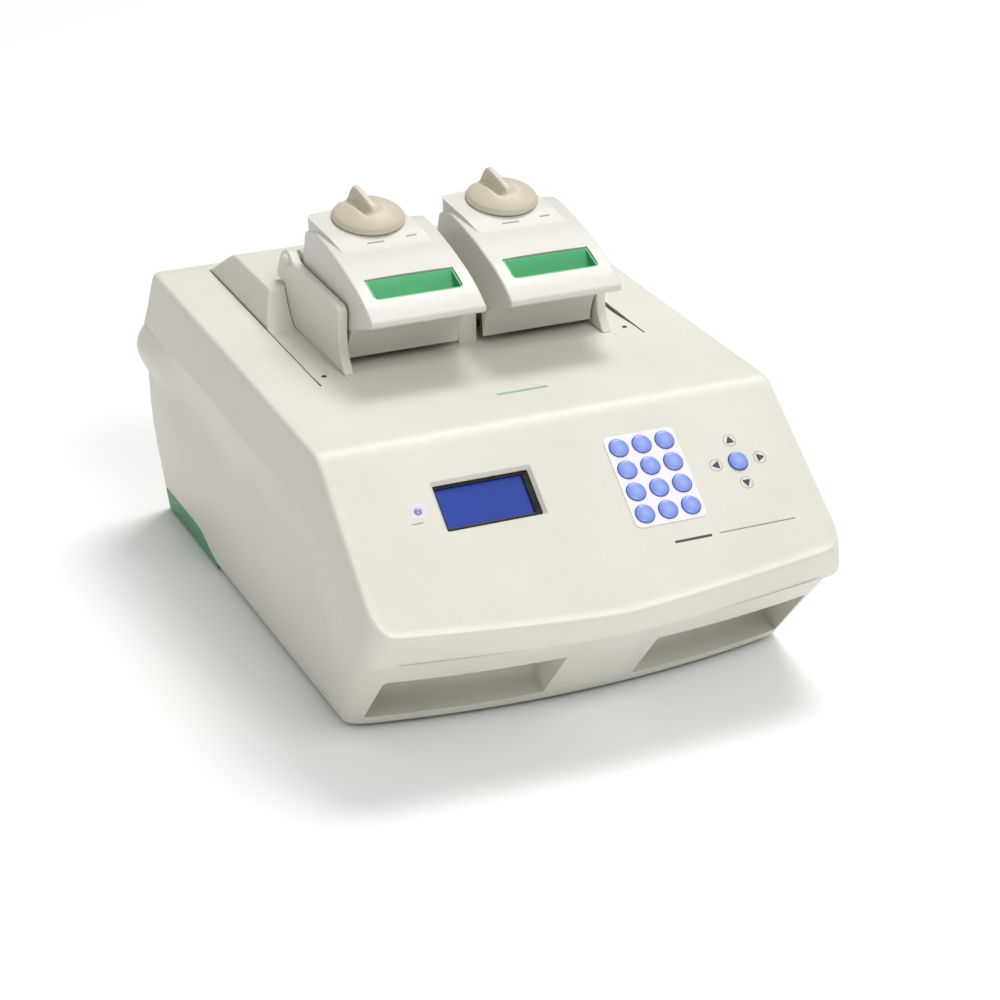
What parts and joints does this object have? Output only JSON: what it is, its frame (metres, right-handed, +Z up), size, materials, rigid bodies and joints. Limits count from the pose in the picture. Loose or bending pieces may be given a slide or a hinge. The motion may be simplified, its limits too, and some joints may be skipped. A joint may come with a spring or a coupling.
{
  "type": "thermal cycler",
  "caption": "Bench thermal cycler with a sloped keypad panel, undercut air inlets and two hinged heated lids, each with a latch and a force knob, over well blocks.",
  "frame": {"origin": "middle of the footprint at bench level", "axes": "+X to the operator's right, +Y from the panel to the back, +Z up"},
  "size_m": [0.335, 0.46, 0.2785],
  "materials": {
    "cream": "fine satin texture",
    "white": "smooth satin",
    "green": "satin",
    "dark_green": "matte",
    "tan": "fine satin texture",
    "blue": "soft membrane",
    "ink": "matte",
    "overlay": "satin film",
    "screen": "lit display film",
    "black": "matte",
    "dark": "matte",
    "lamp": "lamp lens",
    "lens": "lamp lens, unlit",
    "board": "circuit board",
    "rubber": "matte",
    "aluminium": "machined",
    "ceramic": "ceramic faces",
    "steel": "ground",
    "silver": "plated"
  },
  "bodies": {
    "chassis": {"base_tray": "dark_green", "lower_housing": "cream", "top_cover": "cream", "rear_panel": "cream", "feet": "rubber", "vent_scoops": "cream", "vent_filters": "dark", "lcd_bezel": "black", "lcd_screen": "screen", "keypad_overlay": "overlay", "keypad_board": "board", "status_lamp": "lamp", "block_lamps": "lens", "main_board": "board", "power_supply": "steel", "heat_sink": "aluminium", "peltier_layer": "ceramic", "fan_frames": "dark", "inlet_socket": "black", "usb_ports": "silver", "panel_screws": "steel", "module_surround": "cream", "module_cowl": "cream", "module_cheeks": "cream", "module_duct": "dark", "hinge_pins": "steel", "catch_bars": "steel", "sample_block_left": "silver", "sample_block_right": "silver"},
    "fan_rotor_left": {"fan_rotor_left": "dark"},
    "fan_rotor_right": {"fan_rotor_right": "dark"},
    "rocker": {"power_rocker": "black"},
    "key_1": {"key_1": "blue"},
    "key_2": {"key_2": "blue"},
    "key_3": {"key_3": "blue"},
    "key_4": {"key_4": "blue"},
    "key_5": {"key_5": "blue"},
    "key_6": {"key_6": "blue"},
    "key_7": {"key_7": "blue"},
    "key_8": {"key_8": "blue"},
    "key_9": {"key_9": "blue"},
    "key_clear": {"key_clear": "blue"},
    "key_0": {"key_0": "blue"},
    "key_point": {"key_point": "blue"},
    "key_enter": {"key_enter": "blue"},
    "arrow_up": {"arrow_up": "ink"},
    "arrow_down": {"arrow_down": "ink"},
    "arrow_left": {"arrow_left": "ink"},
    "arrow_right": {"arrow_right": "ink"},
    "lid_left": {"lid_shell_left": "white", "lid_liner_left": "white"},
    "latch_left": {"latch_left": "green"},
    "knob_left": {"knob_left": "tan"},
    "heated_plate_left": {"heated_plate_left": "aluminium"},
    "lid_right": {"lid_shell_right": "white", "lid_liner_right": "white"},
    "latch_right": {"latch_right": "green"},
    "knob_right": {"knob_right": "tan"},
    "heated_plate_right": {"heated_plate_right": "aluminium"}
  },
  "joints": [
    {"name": "lid_hinge_left", "type": "hinge", "parent": "chassis", "child": "lid_left", "pos_m": [-0.0486, 0.1, 0.226], "axis": [-1, 0, 0], "range_deg": [0, 70]},
    {"name": "latch_pivot_left", "type": "hinge", "parent": "lid_left", "child": "latch_left", "pos_m": [-0.0486, 0.022, 0.236], "axis": [-1, 0, 0], "range_deg": [0, 5], "stiffness_Nm_per_rad": 0.8, "springref_deg": -14.32},
    {"name": "heated_plate_slide_left", "type": "slide", "parent": "lid_left", "child": "heated_plate_left", "axis": [0, 0, -1], "range_m": [-0.002, 0.002]},
    {"name": "knob_turn_left", "type": "hinge", "parent": "lid_left", "child": "knob_left", "pos_m": [-0.0496, 0.066, 0.25896], "axis": [0, 0.2102, -0.9777], "range_deg": [-365, 365]},
    {"name": "fan_spin_left", "type": "hinge", "parent": "chassis", "child": "fan_rotor_left", "pos_m": [-0.062, 0.21, 0.1], "axis": [0, 1, 0], "continuous": true},
    {"name": "lid_hinge_right", "type": "hinge", "parent": "chassis", "child": "lid_right", "pos_m": [0.0486, 0.1, 0.226], "axis": [-1, 0, 0], "range_deg": [0, 70]},
    {"name": "latch_pivot_right", "type": "hinge", "parent": "lid_right", "child": "latch_right", "pos_m": [0.0486, 0.022, 0.236], "axis": [-1, 0, 0], "range_deg": [0, 5], "stiffness_Nm_per_rad": 0.8, "springref_deg": -14.32},
    {"name": "heated_plate_slide_right", "type": "slide", "parent": "lid_right", "child": "heated_plate_right", "axis": [0, 0, -1], "range_m": [-0.002, 0.002]},
    {"name": "knob_turn_right", "type": "hinge", "parent": "lid_right", "child": "knob_right", "pos_m": [0.0476, 0.066, 0.25896], "axis": [0, 0.2102, -0.9777], "range_deg": [-365, 365]},
    {"name": "fan_spin_right", "type": "hinge", "parent": "chassis", "child": "fan_rotor_right", "pos_m": [0.062, 0.21, 0.1], "axis": [0, 1, 0], "continuous": true},
    {"name": "rocker_tilt", "type": "hinge", "parent": "chassis", "child": "rocker", "pos_m": [-0.132, 0.219, 0.073], "axis": [1, 0, 0], "range_deg": [0, 12]},
    {"name": "key_1_press", "type": "slide", "parent": "chassis", "child": "key_1", "axis": [0, 0.6184, -0.7859], "range_m": [0, 0.001], "stiffness_N_per_m": 400},
    {"name": "key_2_press", "type": "slide", "parent": "chassis", "child": "key_2", "axis": [0, 0.6184, -0.7859], "range_m": [0, 0.001], "stiffness_N_per_m": 400},
    {"name": "key_3_press", "type": "slide", "parent": "chassis", "child": "key_3", "axis": [0, 0.6184, -0.7859], "range_m": [0, 0.001], "stiffness_N_per_m": 400},
    {"name": "key_4_press", "type": "slide", "parent": "chassis", "child": "key_4", "axis": [0, 0.6184, -0.7859], "range_m": [0, 0.001], "stiffness_N_per_m": 400},
    {"name": "key_5_press", "type": "slide", "parent": "chassis", "child": "key_5", "axis": [0, 0.6184, -0.7859], "range_m": [0, 0.001], "stiffness_N_per_m": 400},
    {"name": "key_6_press", "type": "slide", "parent": "chassis", "child": "key_6", "axis": [0, 0.6184, -0.7859], "range_m": [0, 0.001], "stiffness_N_per_m": 400},
    {"name": "key_7_press", "type": "slide", "parent": "chassis", "child": "key_7", "axis": [0, 0.6184, -0.7859], "range_m": [0, 0.001], "stiffness_N_per_m": 400},
    {"name": "key_8_press", "type": "slide", "parent": "chassis", "child": "key_8", "axis": [0, 0.6184, -0.7859], "range_m": [0, 0.001], "stiffness_N_per_m": 400},
    {"name": "key_9_press", "type": "slide", "parent": "chassis", "child": "key_9", "axis": [0, 0.6184, -0.7859], "range_m": [0, 0.001], "stiffness_N_per_m": 400},
    {"name": "key_clear_press", "type": "slide", "parent": "chassis", "child": "key_clear", "axis": [0, 0.6184, -0.7859], "range_m": [0, 0.001], "stiffness_N_per_m": 400},
    {"name": "key_0_press", "type": "slide", "parent": "chassis", "child": "key_0", "axis": [0, 0.6184, -0.7859], "range_m": [0, 0.001], "stiffness_N_per_m": 400},
    {"name": "key_point_press", "type": "slide", "parent": "chassis", "child": "key_point", "axis": [0, 0.6184, -0.7859], "range_m": [0, 0.001], "stiffness_N_per_m": 400},
    {"name": "key_enter_press", "type": "slide", "parent": "chassis", "child": "key_enter", "axis": [0, 0.6184, -0.7859], "range_m": [0, 0.001], "stiffness_N_per_m": 400},
    {"name": "arrow_up_press", "type": "slide", "parent": "chassis", "child": "arrow_up", "axis": [0, 0.6184, -0.7859], "range_m": [0, 0.001], "stiffness_N_per_m": 400},
    {"name": "arrow_down_press", "type": "slide", "parent": "chassis", "child": "arrow_down", "axis": [0, 0.6184, -0.7859], "range_m": [0, 0.001], "stiffness_N_per_m": 400},
    {"name": "arrow_left_press", "type": "slide", "parent": "chassis", "child": "arrow_left", "axis": [0, 0.6184, -0.7859], "range_m": [0, 0.001], "stiffness_N_per_m": 400},
    {"name": "arrow_right_press", "type": "slide", "parent": "chassis", "child": "arrow_right", "axis": [0, 0.6184, -0.7859], "range_m": [0, 0.001], "stiffness_N_per_m": 400}
  ],
  "couplings": [
    {"joint": "knob_turn_left", "follows": "heated_plate_slide_left", "rad_per_m": 3141.6},
    {"joint": "knob_turn_right", "follows": "heated_plate_slide_right", "rad_per_m": 3141.6}
  ]
}
